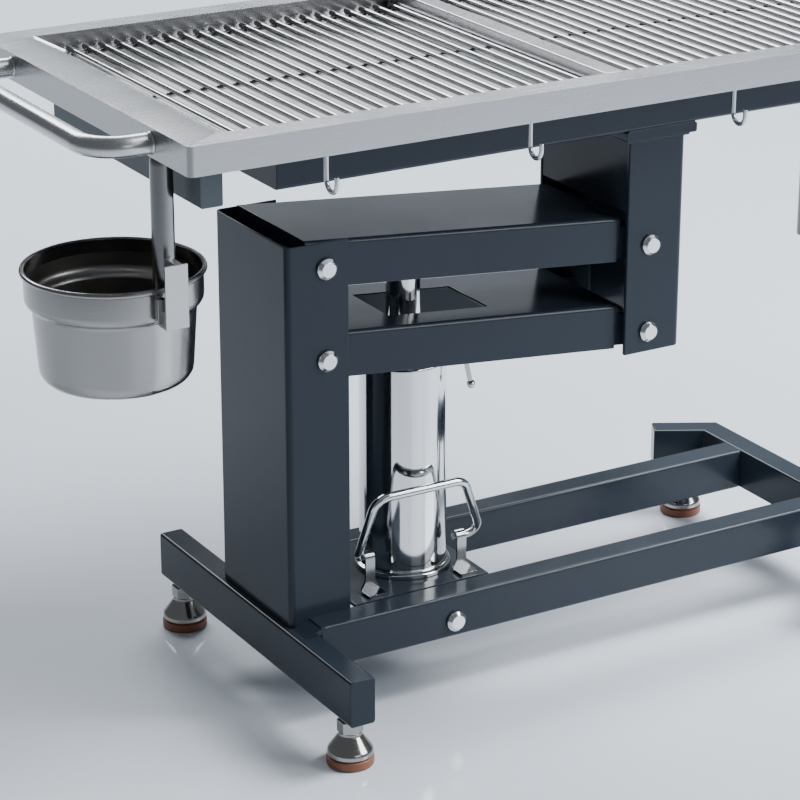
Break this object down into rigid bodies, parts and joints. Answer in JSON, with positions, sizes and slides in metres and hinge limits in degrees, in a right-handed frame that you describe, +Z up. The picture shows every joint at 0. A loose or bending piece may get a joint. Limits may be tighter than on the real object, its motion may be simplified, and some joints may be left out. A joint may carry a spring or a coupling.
{
  "type": "hydraulic operating table",
  "caption": "Stainless operating table: a drained tray with lift-out grates on a foot-pumped parallelogram lift stand, with end handles, tie-down hooks and a hung bucket.",
  "frame": {"origin": "on the floor under the middle of the whole object's box", "axes": "+X along the table, from the bucket's end to the end with the second drain; +Y across it, away from the side with the pedal; +Z up"},
  "size_m": [1.3879, 0.6, 0.864],
  "materials": {
    "brushed_stainless": "brushed",
    "polished_steel": "polished",
    "chrome": "mirror",
    "slate_powder_coat": "satin powder coat",
    "grey_powder_coat": "satin powder coat",
    "satin_nickel": "satin nickel",
    "tan_rubber": "matt"
  },
  "bodies": {
    "stand": {"base_crossbeam_left": "slate_powder_coat", "base_rail_near": "slate_powder_coat", "base_rail_far": "slate_powder_coat", "base_crossbeam_right": "slate_powder_coat", "fixed_column": "slate_powder_coat", "rail_bolt": "polished_steel", "pump_base_plate": "slate_powder_coat", "pump_base_ring": "chrome", "pump_cylinder": "chrome", "pump_gland": "polished_steel", "pedal_bracket_left": "chrome", "pedal_bracket_right": "chrome", "pivot_bolt_rear_upper": "polished_steel", "pivot_bolt_rear_lower": "polished_steel", "pivot_nut_rear_upper": "polished_steel", "pivot_nut_rear_lower": "polished_steel"},
    "upper_arm_body": {"upper_arm": "slate_powder_coat", "bush_rear_upper": "polished_steel", "bush_front_upper": "polished_steel"},
    "lower_arm_body": {"lower_arm": "slate_powder_coat", "bush_rear_lower": "polished_steel", "bush_front_lower": "polished_steel"},
    "table": {"tray": "brushed_stainless", "divider_bar": "brushed_stainless", "handle_left": "brushed_stainless", "handle_right": "brushed_stainless", "tray_frame": "grey_powder_coat", "subframe": "slate_powder_coat", "head_plate": "slate_powder_coat", "front_column": "slate_powder_coat", "pivot_bolt_front_upper": "polished_steel", "pivot_bolt_front_lower": "polished_steel", "pivot_nut_front_upper": "polished_steel", "pivot_nut_front_lower": "polished_steel", "hook_near_1": "polished_steel", "hook_near_2": "polished_steel", "hook_near_3": "polished_steel", "hook_near_4": "polished_steel", "hook_far_1": "polished_steel", "hook_far_2": "polished_steel", "hook_far_3": "polished_steel", "hook_far_4": "polished_steel", "drain_pipe_left": "brushed_stainless", "drain_pipe_right": "brushed_stainless", "bucket_hanger": "brushed_stainless"},
    "piston": {"piston_rod": "chrome"},
    "roller": {"lift_roller": "polished_steel"},
    "pedal": {"foot_pedal": "chrome"},
    "release": {"release_lever": "chrome"},
    "grate_left_body": {"grate_left": "polished_steel"},
    "grate_right_body": {"grate_right": "polished_steel"},
    "bucket_body": {"bucket": "brushed_stainless"},
    "foot_near_left": {"levelling_foot_near_left": "satin_nickel", "foot_pad_near_left": "tan_rubber"},
    "foot_far_left": {"levelling_foot_far_left": "satin_nickel", "foot_pad_far_left": "tan_rubber"},
    "foot_near_right": {"levelling_foot_near_right": "satin_nickel", "foot_pad_near_right": "tan_rubber"},
    "foot_far_right": {"levelling_foot_far_right": "satin_nickel", "foot_pad_far_right": "tan_rubber"}
  },
  "joints": [
    {"name": "lift", "type": "hinge", "parent": "stand", "child": "upper_arm_body", "pos_m": [-0.303, 0, 0.6155], "axis": [0, -1, 0], "range_deg": [-8.5, 25.2]},
    {"name": "lower_arm_pivot", "type": "hinge", "parent": "stand", "child": "lower_arm_body", "pos_m": [-0.303, 0, 0.493], "axis": [0, -1, 0], "range_deg": [-8.5, 25.2]},
    {"name": "table_pivot", "type": "hinge", "parent": "upper_arm_body", "child": "table", "pos_m": [0.18399, 0, 0.57118], "axis": [0, -1, 0], "range_deg": [-25.2, 8.5]},
    {"name": "piston_slide", "type": "slide", "parent": "stand", "child": "piston", "axis": [0, 0, 1], "range_m": [-0.026, 0.076]},
    {"name": "roller_spin", "type": "hinge", "parent": "piston", "child": "roller", "pos_m": [-0.135, 0, 0.61789], "axis": [0, 1, 0], "continuous": true},
    {"name": "pedal_hinge", "type": "hinge", "parent": "stand", "child": "pedal", "pos_m": [-0.135, -0.057, 0.188], "axis": [1, 0, 0], "range_deg": [0, 55], "stiffness_Nm_per_rad": 6, "springref_deg": -22.92},
    {"name": "release_turn", "type": "hinge", "parent": "stand", "child": "release", "pos_m": [-0.11264, -0.01685, 0.4425], "axis": [0.7986, -0.6018, 0], "range_deg": [0, 40], "stiffness_Nm_per_rad": 0.3, "springref_deg": -17.19},
    {"name": "grate_left_lift", "type": "slide", "parent": "table", "child": "grate_left_body", "axis": [0, 0, 1], "range_m": [0, 0.1]},
    {"name": "grate_right_lift", "type": "slide", "parent": "table", "child": "grate_right_body", "axis": [0, 0, 1], "range_m": [0, 0.1]},
    {"name": "bucket_lift", "type": "slide", "parent": "table", "child": "bucket_body", "axis": [0, 0, 1], "range_m": [0, 0.019]},
    {"name": "foot_near_left_screw", "type": "hinge", "parent": "stand", "child": "foot_near_left", "pos_m": [-0.3515, -0.237, 0.05], "axis": [0, 0, 1], "continuous": true},
    {"name": "foot_far_left_screw", "type": "hinge", "parent": "stand", "child": "foot_far_left", "pos_m": [-0.3515, 0.237, 0.05], "axis": [0, 0, 1], "continuous": true},
    {"name": "foot_near_right_screw", "type": "hinge", "parent": "stand", "child": "foot_near_right", "pos_m": [0.489, -0.219, 0.05], "axis": [0, 0, 1], "continuous": true},
    {"name": "foot_far_right_screw", "type": "hinge", "parent": "stand", "child": "foot_far_right", "pos_m": [0.489, 0.219, 0.05], "axis": [0, 0, 1], "continuous": true}
  ],
  "couplings": [
    {"joint": "lower_arm_pivot", "follows": "lift", "ratio": 1},
    {"joint": "table_pivot", "follows": "lift", "ratio": -1},
    {"joint": "piston_slide", "follows": "lift", "m_per_rad": 0.1715}
  ]
}
